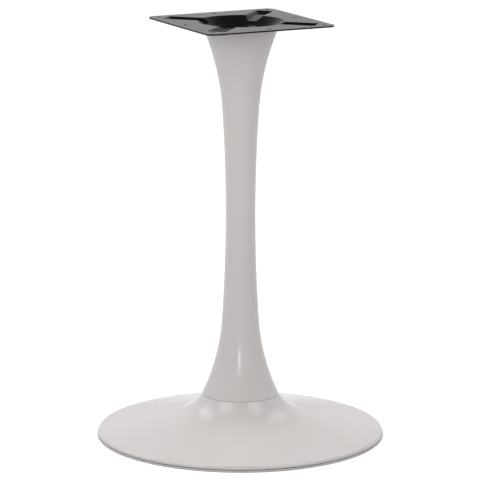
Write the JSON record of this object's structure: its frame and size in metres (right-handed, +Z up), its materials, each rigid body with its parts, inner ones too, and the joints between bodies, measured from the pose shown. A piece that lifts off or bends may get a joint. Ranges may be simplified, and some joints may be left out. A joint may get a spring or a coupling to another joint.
{
  "type": "table base",
  "caption": "Pedestal table base: square pressed steel top plate on a trumpet column and a wide low round weighted foot.",
  "frame": {"origin": "on the floor at the middle of the round foot", "axes": "+Z up along the column, X and Y along the edges of the square top plate"},
  "size_m": [0.4949, 0.495, 0.72],
  "materials": {
    "plate_black": "satin powder coat",
    "column_grey": "fine satin coat",
    "cover_grey": "fine satin coat",
    "ring_grey": "matte",
    "casting": "rough black primer",
    "zinc": "zinc plated"
  },
  "bodies": {
    "root": {"top_plate": "plate_black", "column": "column_grey", "base_cover": "cover_grey", "ballast_foot": "casting", "floor_ring": "ring_grey", "tie_rod": "zinc", "weld_nut": "zinc", "clamp_washer": "zinc", "spring_washer": "zinc", "clamp_nut": "zinc"}
  },
  "joints": []
}
